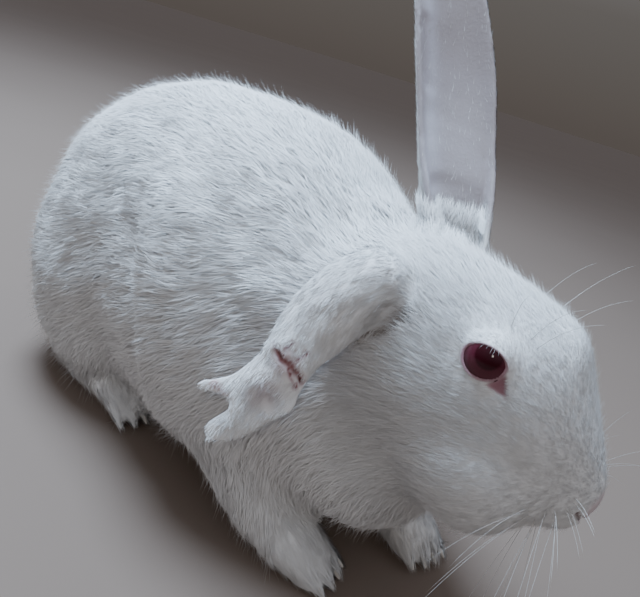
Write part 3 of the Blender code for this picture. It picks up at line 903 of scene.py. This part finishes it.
def grow_piece(surface, roots, spot_of, rng, nearest, name, rings):
    """The tufts of one piece of the coat, in meshes of an allowed size."""
    total, root, normal = roots.total, roots.place, roots.normal
    part, size, depth = roots.part, roots.size, roots.depth
    run = unit(roots.run)
    side = np.cross(normal, run)
    run = unit(run + side * rng.normal(0, 0.20, total)[:, None])
    long = by_part(part, LENGTH) * MM * size * rng.uniform(0.7, 1.15, total)
    wide = by_part(part, WIDTH) * MM * np.sqrt(size) * rng.uniform(0.7, 1.2, total)
    lift = by_part(part, LIFT) * rng.uniform(0.35, 1.0, total) * depth
    standing = rng.random(total) < STANDING
    stand = np.where(is_part(part, "ear"), 0.6, 2.2) * MM * np.sqrt(size)
    lift = np.where(standing, lift + rng.uniform(0.2, 1.0, total) * stand, lift)
    wide = np.where(standing, wide * 0.55, wide)
    path = np.empty((total, rings, 3))
    path[:, 0] = root - normal * ROOTED * MM
    steps = ((0.45, 0.72), (1.0, 1.0)) if rings == 3 else ((1.0, 1.0),)
    for ring, (reach, height) in enumerate(steps, 1):
        goal = root + run * (long * reach)[:, None]
        under = nearest(goal)
        below, up = surface.place[under], surface.normal[under]
        path[:, ring] = goal - up * dot(goal - below, up)[:, None] + up * (lift * height)[:, None]
    leaders = rng.choice(total, total // LOCK, replace=False)
    follow = leaders[finder(root[leaders])(root)]
    rise = rng.uniform(*LOCK_RISE, total)[follow] * depth * np.minimum(size, 1) ** 2
    path[:, -1] += normal * rise[:, None]
    gather = by_part(part, GATHER) * rng.uniform(0.4, 1.2, total)
    gather = np.where(dot(normal, normal[follow]) > 0.7, gather, 0)[:, None]
    path[:, -1] += (path[follow, -1] - path[:, -1]) * gather
    if rings == 3:
        path[:, 1] += (path[follow, 1] - path[:, 1]) * gather * 0.3
    path[:, 1:, 2] = np.maximum(path[:, 1:, 2], LOWEST)
    half = wide[:, None] * np.array((0.5, 0.42, 0) if rings == 3 else (0.5, 0))
    shade = 0.5 + 0.15 * rng.normal(0, 1, total) + 0.15 * rng.normal(0, 1, total)[follow]
    shade = np.clip(shade, 0, 1)
    on_head = is_part(part, "head")
    tilt = np.where(on_head, 0.07, 0.15) * size * rng.normal(0, 1, total)[follow]
    rock = np.where(on_head, 0.05, 0.13) * size * rng.normal(0, 1, total)[follow]
    facing = normal + side * tilt[:, None] + run * rock[:, None]
    facing = unit(facing + rng.normal(0, 0.10, (total, 3)))
    lobe_up = 0.7 * is_part(part, "ear_right") * (1 - step(root[:, 2], 100 * MM, 118 * MM))
    facing = unit(facing + np.array(HEAD_UP) * lobe_up[:, None])
    # Each tuft takes the skin's pink and the painted shadow under the hanging ear's edge.
    spot, blush, stain = spot_of(root), roots.blend(surface.blush), roots.blend(surface.stain)
    triangles = 6 * rings - 8
    order = np.argsort(root[:, 1], kind="stable")
    order = order[clear_of_eyes(path[order])]
    pieces = max(1, math.ceil(len(order) * triangles / PIECE_TRIANGLES))
    return [
        strands(
            f"coat_{name}_{number}", path[rows], half[rows], FLAT, facing[rows], normal[rows],
            spot[rows], SOFT[rings], shade=shade[rows], blush=blush[rows], stain=stain[rows],
        )
        for number, rows in enumerate(np.array_split(order, pieces), 1)
    ]


def clear_of_eyes(path):
    """Which tufts don't end over the open part of an eye."""
    clear = np.ones(len(path), bool)
    for side in SIDES:
        offset = path[:, -1] - np.array(EYE_SEAT[side])
        over = opening(unit(offset), eye_axes(side)) < 1.08
        clear &= ~(over & (away(offset) < 1.7 * EYE_RADIUS))
    return clear


def grow_guard_hairs(surface, way, spot_of, rng):
    """Single fine hairs that rise out of the coat and soften its outline."""
    label = surface.label[surface.faces[:, 0]]
    furred = ~(is_part(label, "ear") | is_part(label, "forepaw") | is_part(label, "hind"))
    bare = surface.bare[surface.faces].mean(axis=1)
    density = GUARD_DENSITY / MM**2 * np.where(is_part(label, "head"), 2.2, 1.0) * (bare < 0.3)
    roots = Roots(surface, way, furred, density, rng)
    total, root, normal, size = roots.total, roots.place, roots.normal, roots.size
    run = unit(roots.run + rng.normal(0, 0.16, (total, 3)))
    long = by_part(roots.part, LENGTH) * MM * size * rng.uniform(0.75, 1.15, total)
    under = 1 + 0.8 * (1 - step(root[:, 2], 25 * MM, 50 * MM))
    rise = 0.9 * roots.depth + rng.uniform(*GUARD_RISE, total) * MM * size * under
    path = np.stack((root, root + run * long[:, None] + normal * rise[:, None]), axis=1)
    path[:, 1, 2] = np.maximum(path[:, 1, 2], LOWEST)
    half = GUARD_WIDTH * MM * np.sqrt(size)[:, None] * np.array((0.5, 0))
    keep = np.flatnonzero(clear_of_eyes(path))
    return strands(
        "coat_guard_hairs", path[keep], half[keep], 0.8, normal[keep], normal[keep],
        spot_of(root[keep]), 0.85, shade=np.full(len(keep), 0.2),
    )


def tuft_size(root, part):
    """Shorter tufts towards the nose, round the eyes, and longer ones at the root of the ear."""
    by_ear = 1 - step(away(root, EAR_ROOT), 9 * MM, 20 * MM)
    face = (1.25 - 0.75 * step(ahead_in_head(root), -25, 36)) * (1 + 0.5 * by_ear)
    size = np.where(is_part(part, "head"), face, 1.0)
    for side in SIDES:
        size *= 0.42 + 0.58 * step(away(root, EYE_SEAT[side]), 10 * MM, 21 * MM)
    high = root[:, 2]
    ear = 1 + 0.25 * (1 - step(high, 148 * MM, 165 * MM))
    ear *= 1 - 0.5 * step(high, 222 * MM, 240 * MM)
    size = np.where(is_part(part, "ear_left"), size * ear, size)
    for place, reach in ((SCAR_MIDDLE, 10 * MM), (PRONG_TIP, 11 * MM)):
        long = 0.45 + 0.55 * step(away(root, place), 0.4 * reach, reach)
        size = np.where(is_part(part, "ear_right"), size * long, size)
    size = np.where(on_body(part), size * (1 + 0.45 * (1 - step(high, 14 * MM, 42 * MM))), size)
    on_foot = is_part(part, "forepaw") | is_part(part, "hind")
    return np.where(on_foot, size * (1 + 0.4 * (high > 4 * MM)), size)


WHISKERS = (  # root ahead, left and up in the head's frame, then its way, in mm, and its bend
    ((38, 9, -33), (0.45, 1.0, 0.40), 46, -9),
    ((37, 9, -36), (0.50, 1.0, 0.05), 46, -10),
    ((35, 10, -38), (0.30, 1.0, -0.25), 48, -10),
    ((34, 11, -35), (0.15, 1.0, 0.30), 54, -11),
    ((32, 12, -38), (0.0, 1.0, 0.0), 56, -12),
    ((31, 12, -41), (-0.15, 1.0, -0.40), 52, -8),
    ((29, 13, -37), (-0.35, 1.0, 0.10), 56, -12),
    ((28, 13, -41), (-0.45, 1.0, -0.35), 52, -10),
    ((34, 8, -42), (0.2, 0.8, -0.75), 34, -6),
    ((30, 9, -44), (-0.2, 0.7, -0.85), 30, -6),
)
BROW_WHISKERS = (
    ((9, 17, 11), (0.35, 0.7, 1.10), 40, -9),
    ((4, 18, 12), (0.20, 0.8, 1.10), 42, -9),
    ((13, 16, 8), (0.45, 0.8, 0.90), 36, -8),
)
WHISKER_HALF, LASH_HALF = 0.09 * MM, 0.055 * MM  # half their widths at the root
REACH_OUT = 8 * MM  # how far a whisker may reach past the CAD's own box


def room_for(start, tip):
    """The share of the way from start to tip that stays in reach of the box."""
    share = 1.0
    for a, b, low, high in zip(start, tip, *cad_box):
        limit = high + REACH_OUT if b > a else low - REACH_OUT
        if abs(b - a) > 1e-9:
            share = min(share, (limit - a) / (b - a))
    return max(share, 0.1)


def make_whiskers(tree, rng):
    """Long fine hairs on the lip pads and over the eyes."""
    rings, paths, normals = 10, [], []
    t = np.linspace(0, 1, rings)[:, None]
    for rows in (WHISKERS * 2, BROW_WHISKERS):
        for sign in (1, -1):
            for place, way, length, bend in rows:
                jitter = rng.uniform(-1.4, 1.4, 3)
                start = in_head(place[0] + jitter[0], sign * place[1], place[2] + jitter[2])
                root, normal, _, _ = tree.find_nearest(start)
                turn = rng.normal(0, 0.10, 3)
                run = head_way(way[0] + turn[0], sign * way[1] + turn[1], way[2] + turn[2])
                reach = length * rng.uniform(0.75, 1.08) * MM
                curve = np.array(run) * t * reach + np.array((-0.25, 0, 1)) * bend * MM * t**2
                curve *= room_for(root, Vector(curve[-1]) + root)
                paths.append(np.array(root) - np.array(normal) * 0.4 * MM + curve)
                normals.append(normal)
    half = WHISKER_HALF * np.linspace(1, 0.25, rings)[None] * np.ones((len(paths), 1))
    return fine_hairs("whiskers", paths, half, normals, [HEAD_UP] * len(paths))


def fine_hairs(name, paths, half, normals, across):
    """Round hairs that the coat's map has no patch for."""
    paths, normals, across = np.array(paths), np.array(normals), np.array(across)
    spot, shade = np.full((len(paths), 2), 0.5), np.full(len(paths), 0.6)
    return strands(name, paths, half, 1.0, normals, across, spot, 0.2, shade=shade)


def make_toe_tufts(tree, rng):
    """Pointed tufts on the toes that hide the claws all but their tips."""
    paths, normals = [], []
    for name in CLAWS:
        places = np.array([vert.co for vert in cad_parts[name].data.vertices])
        foot = name.rsplit("_", 1)[0]
        for claw, whole in (("claw_fore", "forepaw"), ("claw_hind", "hind_foot")):
            foot = foot.replace(claw, whole)
        heel = np.array(middle(foot))
        reach = np.linalg.norm((places - heel)[:, :2], axis=1)
        tip = places[reach.argmax()]
        base = places[reach < np.quantile(reach, 0.35)].mean(axis=0)
        along = tip - base
        for _ in range(TOE_TUFTS):
            stray = rng.normal(0, 1, 3) * (1.0, 1.5, 1.3) * MM
            start = base - along * rng.uniform(0.1, 1.4) + stray + (0, 0, 1.2 * MM)
            root, normal, _, _ = tree.find_nearest(Vector(start))
            end = tip + along * rng.uniform(-0.45, 0.20) + rng.normal(0, 1, 3) * (0.5, 0.8, 0.6) * MM
            end[2] = max(end[2], LOWEST)
            root, normal = np.array(root), np.array(normal)
            bend = (root + end) / 2 + normal * 0.7 * MM + np.array((0, 0, 0.6)) * MM
            paths.append((root - normal * ROOTED * MM, bend, end))
            normals.append(normal)
    half = rng.uniform(0.15, 0.23, len(paths))[:, None] * np.array((1, 0.85, 0)) * MM
    return np.array(paths), np.array(normals), half


def make_ear_fluff(surface, rng):
    """Soft tufts that stand up round the root of the standing ear."""
    near = (away(surface.place, EAR_ROOT) < ROOT_REACH) & (surface.place[:, 2] < ROOT_HEIGHT)
    chosen = rng.choice(np.flatnonzero(near), ROOT_TUFTS)
    root, normal = surface.place[chosen], surface.normal[chosen]
    run = unit(np.array((-0.25, 0, 1)) + 0.25 * normal + rng.normal(0, 0.12, root.shape))
    long = rng.uniform(3, 7, ROOT_TUFTS)[:, None] * MM
    bend = root + run * long * 0.5 + normal * 0.9 * MM
    tip = root + run * long + normal * rng.uniform(0.2, 0.9, ROOT_TUFTS)[:, None] * MM
    path = np.stack((root - normal * ROOTED * MM, bend, tip), axis=1)
    half = rng.uniform(0.11, 0.18, ROOT_TUFTS)[:, None] * np.array((1, 0.85, 0)) * MM
    return path, unit(normal + (0, 0, 0.8)), half


def make_lashes(rng):
    """Short pale hairs along the upper lids."""
    paths, normals = [], []
    t = np.linspace(0, 1, 5)[:, None]
    for side in SIDES:
        out, forward, up = eye_axes(side)
        centre = np.array(EYE_SEAT[side])
        for turn in np.linspace(25, 155, 16) + rng.uniform(-4, 4, 16):
            angle = math.radians(turn)
            x, z = 1.10 * OPEN_LONG * math.cos(angle), 1.10 * OPEN_OVER * math.sin(angle)
            way = out * math.sqrt(max(0.05, 1 - x * x - z * z)) + forward * x + up * z
            root = centre + way * (EYE_RADIUS + 0.4 * MM)
            run = unit((out * 0.8 + forward * x + up * rng.uniform(-0.3, 0.5))[None])[0]
            reach = rng.uniform(2.2, 4.0) * MM
            paths.append(root + run * t * reach - np.array((0, 0, 1)) * 1.4 * MM * t**2)
            normals.append(way)
    half = LASH_HALF * np.linspace(1, 0.3, 5)[None] * np.ones((len(paths), 1))
    return fine_hairs("lashes", paths, half, normals, normals)


# ---- eyes


LOOK = (0.13, 0.46)  # how far ahead and up the eyes look, as shares of the way out


def make_eye(side):
    """A ball with a slightly domed cornea, and its angle from the axis for the iris."""
    axes = eye_axes(side, *LOOK)
    out, ahead, up = (Vector(way) for way in axes)
    turn = Matrix((ahead, up, ahead.cross(up))).transposed()
    sign = 1 if turn.col[2].dot(out) > 0 else -1
    bm = bmesh.new()
    bmesh.ops.create_uvsphere(bm, u_segments=64, v_segments=48, radius=EYE_RADIUS)
    for vert in bm.verts:
        from_axis = vert.co.normalized().angle(Vector((0, 0, sign)))
        vert.co *= 1 + 0.035 * max(0, 1 - (from_axis / 0.75) ** 2)
        vert.co = turn @ vert.co + EYE_SEAT[side]
    bmesh.ops.recalc_face_normals(bm, faces=bm.faces)
    eye = new_object("eyeball_" + side, bm)
    places = read(eye.data.vertices) - np.array(EYE_SEAT[side])
    y, x, z = (places @ way for way in axes)
    angle = np.arctan2(np.hypot(x, z), y)
    spoke = np.arctan2(z, x)
    put_marks(eye.data, {"gaze": angle, "spoke_x": np.cos(spoke), "spoke_y": np.sin(spoke)})
    eye.data.shade_smooth()
    return eye


# ---- materials


class Nodes:
    """Short ways to add and wire a material's nodes."""

    def __init__(self, tree):
        self.tree = tree

    def add(self, kind, inputs=(), **settings):
        node = self.tree.nodes.new(kind)
        for key, value in settings.items():
            setattr(node, key, value)
        for key, value in dict(inputs).items():
            self.put(node.inputs[key], value)
        return node

    def put(self, socket, value):
        if isinstance(value, bpy.types.NodeSocket):
            self.tree.links.new(value, socket)
        else:
            socket.default_value = value

    def value(self, name):
        return self.add("ShaderNodeAttribute", attribute_name=name).outputs["Fac"]

    def math(self, operation, a, b=0.0):
        return self.add("ShaderNodeMath", {0: a, 1: b}, operation=operation).outputs[0]

    def mix(self, share, a, b, blend="MIX"):
        node = self.add("ShaderNodeMix", data_type="RGBA", blend_type=blend)
        for socket, value in ((node.inputs[0], share), (node.inputs[6], a), (node.inputs[7], b)):
            self.put(socket, value)
        return node.outputs[2]

    def tints(self, colour, rows):
        """Lays colours over one another, each by a mark's value times a share."""
        for mark_name, share, over in rows:
            colour = self.mix(self.math("MULTIPLY", self.value(mark_name), share), colour, over)
        return colour

    def ramp(self, value, stops):
        node = self.add("ShaderNodeValToRGB", {"Fac": value})
        marks = node.color_ramp.elements
        while len(marks) < len(stops):
            marks.new(0.5)
        for mark_at, (where, colour) in zip(marks, stops):
            mark_at.position = where
            mark_at.color = (*colour, 1)
        return node.outputs["Color"]

    def noise(self, scale, detail=3.0, stretch=None):
        where = self.add("ShaderNodeTexCoord").outputs["Object"]
        if stretch:
            where = self.add("ShaderNodeMapping", {"Vector": where, "Scale": stretch}).outputs[0]
        values = {"Vector": where, "Scale": scale, "Detail": detail}
        return self.add("ShaderNodeTexNoise", values).outputs[0]


def new_material(name, roughness, specular=0.5):
    made = bpy.data.materials.new(name)
    made.use_nodes = True
    shader = made.node_tree.nodes["Principled BSDF"]
    shader.inputs["Roughness"].default_value = roughness
    shader.inputs["Specular IOR Level"].default_value = specular
    return made, shader, Nodes(made.node_tree)


def two_tone(name, roughness, share_of, first, second):
    """A material that runs between two colours by the share that share_of gives."""
    made, shader, nodes = new_material(name, roughness)
    nodes.put(shader.inputs["Base Color"], nodes.mix(share_of(nodes), first, second))
    return made


def coat_colour_group():
    """Markings that the skin and the coat share: white with cream and cool grey clouding."""
    group = bpy.data.node_groups.new("coat_markings", "ShaderNodeTree")
    group.interface.new_socket("Cream", in_out="INPUT", socket_type="NodeSocketFloat")
    group.interface.new_socket("Colour", in_out="OUTPUT", socket_type="NodeSocketColor")
    nodes = Nodes(group)
    start = nodes.add("NodeGroupInput")
    end = nodes.add("NodeGroupOutput")
    broad = nodes.noise(28, 3)
    fine = nodes.noise(160, 2)
    colour = (0.95, 0.945, 0.94, 1)
    for share, weight, over in (
        (broad, 0.5, (0.90, 0.885, 0.87, 1)), (fine, 0.15, (0.86, 0.85, 0.84, 1)),
        (start.outputs["Cream"], 0.45, (0.84, 0.78, 0.66, 1)),
    ):
        colour = nodes.mix(nodes.math("MULTIPLY", share, weight), colour, over)
    nodes.put(end.inputs["Colour"], colour)
    return group


def coat_material(group):
    made, shader, nodes = new_material("white_fur", 0.6, 0.3)
    marks = nodes.add("ShaderNodeGroup", node_tree=group)
    nodes.put(marks.inputs["Cream"], 0.12)
    # Tufts darken towards their roots: painted shade between the tufts.
    root_shade = nodes.math("SUBTRACT", 1.0, nodes.value("along"))
    root_shade = nodes.math("MULTIPLY", root_shade, 0.14)
    colour = nodes.mix(root_shade, marks.outputs[0], (0.74, 0.72, 0.71, 1))
    tint = nodes.math("MULTIPLY", nodes.value("shade"), 0.22)
    colour = nodes.mix(tint, colour, (0.72, 0.72, 0.74, 1), "MULTIPLY")
    # The coat takes the skin's pink and the same painted shadow under the hanging ear's edge.
    patches = (("blush", 1, (0.58, 0.47, 0.50, 1)), ("stain", 0.8, (0.36, 0.27, 0.22, 1)))
    nodes.put(shader.inputs["Base Color"], nodes.tints(colour, patches))
    return made


def skin_material(group):
    made, shader, nodes = new_material("rabbit_skin", 0.6, 0.35)
    marks = nodes.add("ShaderNodeGroup", {"Cream": nodes.value("cream")}, node_tree=group)
    pink = nodes.mix(nodes.noise(90, 4), (0.68, 0.58, 0.59, 1), (0.60, 0.49, 0.50, 1))
    ear = nodes.mix(nodes.noise(45, 5, (1, 1, 0.3)), (0.53, 0.485, 0.50, 1), (0.46, 0.40, 0.41, 1))
    # Painted light along the ear's raised band, and painted shade along its fold.
    lines = (("band", 1, (0.72, 0.70, 0.78, 1)), ("fold", 0.5, (0.42, 0.36, 0.38, 1)))
    ear = nodes.tints(ear, lines)
    lid = nodes.mix(nodes.noise(220, 3), (0.38, 0.215, 0.245, 1), (0.30, 0.15, 0.18, 1))
    ragged = nodes.math("ADD", nodes.noise(300, 3), 0.42)
    scar = nodes.ramp(nodes.math("MULTIPLY", nodes.value("scar"), ragged), (
        (0.0, (0.76, 0.70, 0.71)), (0.45, (0.56, 0.41, 0.43)), (0.75, (0.34, 0.15, 0.15)),
        (1.0, (0.10, 0.03, 0.03)),
    ))
    colour = nodes.tints(marks.outputs[0], (
        ("bare", 1, pink), ("inner", 1, ear), ("nose", 1, pink), ("lid", 1, lid),
        ("tear", 1, (0.33, 0.16, 0.19, 1)), ("lobe", 0.9, (0.54, 0.47, 0.49, 1)),
        ("prong", 1, (0.58, 0.29, 0.27, 1)), ("sore", 0.75, (0.60, 0.48, 0.50, 1)),
        # A dark brown painted shadow under the hanging ear's edge.
        ("scar", 2, scar), ("stain", 1, (0.26, 0.16, 0.11, 1)),
        # Painted shade in the creases of the nose and mouth.
        ("crease", 0.8, (0.30, 0.21, 0.20, 1)),
    ))
    nodes.put(shader.inputs["Base Color"], colour)
    fine = nodes.noise(900, 3, (1, 1, 1))
    bump = nodes.add("ShaderNodeBump", {"Strength": 0.25, "Distance": 0.0004, "Height": fine})
    nodes.put(shader.inputs["Normal"], bump.outputs[0])
    return made


def eye_material():
    made, shader, nodes = new_material("ruby_eye", 0.04, 0.3)
    gaze = nodes.value("gaze")
    depth = nodes.math("MULTIPLY", gaze, 0.25)
    spokes = nodes.add("ShaderNodeCombineXYZ", {
        "X": nodes.value("spoke_x"), "Y": nodes.value("spoke_y"), "Z": depth,
    })
    values = {"Vector": spokes.outputs[0], "Scale": 9.0, "Detail": 4.0}
    fibre = nodes.add("ShaderNodeTexNoise", values)
    ragged = nodes.math("ADD", gaze, nodes.math("MULTIPLY", fibre.outputs[0], 0.05))
    colour = nodes.ramp(nodes.math("DIVIDE", ragged, 1.2), (
        (0.0, (0.026, 0.001, 0.004)), (0.36, (0.032, 0.002, 0.006)), (0.43, (0.085, 0.014, 0.026)),
        (0.62, (0.100, 0.019, 0.033)), (0.80, (0.045, 0.005, 0.011)), (0.92, (0.42, 0.28, 0.29)),
    ))
    streaks = nodes.math("MULTIPLY", fibre.outputs[0], nodes.math("MULTIPLY", gaze, 0.06))
    colour = nodes.mix(streaks, colour, (0.35, 0.10, 0.12, 1), "ADD")
    nodes.put(shader.inputs["Base Color"], colour)
    return made


# ---- stage, lights and camera


FLOOR_HALF = 20
FLOOR_TONES = (0.175, 0.128, 0.100, 1), (0.195, 0.145, 0.114, 1)


def make_stage():
    bm = bmesh.new()
    bmesh.ops.create_grid(bm, x_segments=1, y_segments=1, size=FLOOR_HALF)
    floor = new_object("floor", bm)
    pale = two_tone("pale_floor", 0.9, lambda nodes: nodes.noise(3, 2), *FLOOR_TONES)
    floor.data.materials.append(pale)
    floor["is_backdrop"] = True


def add_light(name, place, target, size, watts, colour):
    light = bpy.data.lights.new(name, "AREA")
    light.shape = "DISK"
    light.size, light.energy, light.color = size, watts, colour
    lamp = link(bpy.data.objects.new(name, light))
    lamp.location = place
    lamp.rotation_euler = (Vector(target) - Vector(place)).to_track_quat("-Z", "Y").to_euler()


WORLD_STRENGTH = 0.86


def light_scene():
    world = bpy.data.worlds.new("soft_room")
    bpy.context.scene.world = world
    world.use_nodes = True
    nodes = Nodes(world.node_tree)
    way = nodes.add("ShaderNodeTexCoord").outputs["Generated"]
    height = nodes.add("ShaderNodeSeparateXYZ", {0: way}).outputs["Z"]
    background = world.node_tree.nodes["Background"]
    nodes.put(background.inputs["Color"], nodes.ramp(height, (
        (0.0, (0.112, 0.096, 0.086)), (0.15, (0.145, 0.133, 0.124)), (0.55, (0.41, 0.43, 0.47)),
        (1.0, (0.74, 0.83, 0.99)),
    )))
    background.inputs["Strength"].default_value = WORLD_STRENGTH
    add_light("window", (-0.40, -0.10, 1.18), (-0.35, -0.08, 0), 0.55, 42, (0.57, 0.76, 1.0))
    add_light("lamp", (0.7, -0.9, 0.8), (0.05, 0, 0.08), 0.18, 1.5, (1.0, 0.92, 0.84))


CAMERA_AT = Vector((0.1914, -0.1910, 0.190))
CAMERA_HEADING, CAMERA_DOWN, CAMERA_ROLL = 130.0, 21.0, 17.5  # degrees
LENS, SENSOR = 34.9, 36  # focal length and width of the sensor, in mm
NEAR_CLIP = 5 * MM


def add_camera():
    heading, down, roll = (math.radians(a) for a in (CAMERA_HEADING, CAMERA_DOWN, CAMERA_ROLL))
    level = math.cos(down)
    look = Vector((math.cos(heading) * level, math.sin(heading) * level, -math.sin(down)))
    right = Vector((math.sin(heading), -math.cos(heading), 0))
    up = right.cross(look)
    image_right = right * math.cos(roll) + up * math.sin(roll)
    image_up = up * math.cos(roll) - right * math.sin(roll)
    data = bpy.data.cameras.new("camera")
    data.lens, data.sensor_width, data.clip_start = LENS, SENSOR, NEAR_CLIP
    camera = link(bpy.data.objects.new("camera", data))
    turn = Matrix((image_right, image_up, -look)).transposed().to_4x4()
    camera.matrix_world = Matrix.Translation(CAMERA_AT) @ turn
    bpy.context.scene.camera = camera


# ---- putting it together


HAIR_TONES = (0.62, 0.58, 0.54, 1), (0.80, 0.78, 0.75, 1)
HORN_TONES = (0.74, 0.68, 0.61, 1), (0.84, 0.79, 0.73, 1)
SKIN_MARKS = (
    "inner", "band", "fold", "bare", "nose", "lid", "tear", "lobe", "prong", "sore", "scar", "stain",
    "crease", "cream",
)


def dress(pieces, material):
    """Gives pieces their material and sets them on the root body."""
    for piece in pieces:
        piece.data.materials.append(material)
        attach(piece, "root")


def finish_claw(claw, horn):
    claw.data.materials.clear()
    claw.data.materials.append(horn)
    weld = claw.modifiers.new("weld", "WELD")
    weld.merge_threshold = 1e-6
    smooth = claw.modifiers.new("smooth", "SUBSURF")
    smooth.levels = smooth.render_levels = 2


def main():
    add_camera()
    light_scene()
    make_stage()
    rng = np.random.default_rng(SEED)
    noise.seed_set(SEED)
    skin = make_skin()
    for place in (*EYE_SEAT.values(), in_head(42, 0, -40)):
        refine(skin, place, 15 * MM)
    surface = shape_skin(skin)
    mark(surface)
    way = lie_of_coat(surface)
    put_marks(skin.data, {key: getattr(surface, key) for key in SKIN_MARKS})
    spot_of = unwrap(skin)
    thin_out(skin, min(1.0, SKIN_TRIANGLES / len(skin.data.polygons)))
    skin.data.shade_smooth()
    group = coat_colour_group()
    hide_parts(*FLESH)
    dress([skin], skin_material(group))
    tree = BVHTree.FromPolygons(surface.place.tolist(), surface.faces.tolist())
    coat = grow_coat(surface, way, spot_of, rng)
    coat.append(grow_guard_hairs(surface, way, spot_of, rng))
    extra = {"coat_toes": make_toe_tufts(tree, rng), "coat_ear_fluff": make_ear_fluff(surface, rng)}
    for name, (path, normal, half) in extra.items():
        shade = rng.uniform(0.3, 0.7, len(path))
        spot = spot_of(path[:, 0])
        coat.append(strands(name, path, half, 0.5, normal, normal, spot, 0.85, shade=shade))
    dress(coat, coat_material(group))
    hair = two_tone("whisker", 0.3, lambda nodes: nodes.value("along"), *HAIR_TONES)
    dress((make_whiskers(tree, rng), make_lashes(rng)), hair)
    eyes = [make_eye(side) for side in SIDES]
    for eye, name in zip(eyes, EYES):
        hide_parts(name)
    dress(eyes, eye_material())
    horn = two_tone("claw_horn", 0.35, lambda nodes: nodes.noise(400, 3, (0.2, 1, 1)), *HORN_TONES)
    for name in CLAWS:
        finish_claw(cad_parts[name], horn)


main()
boxes = {"cad": cad_box, "made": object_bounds()}
{key: [list(corner) for corner in box] for key, box in boxes.items()}
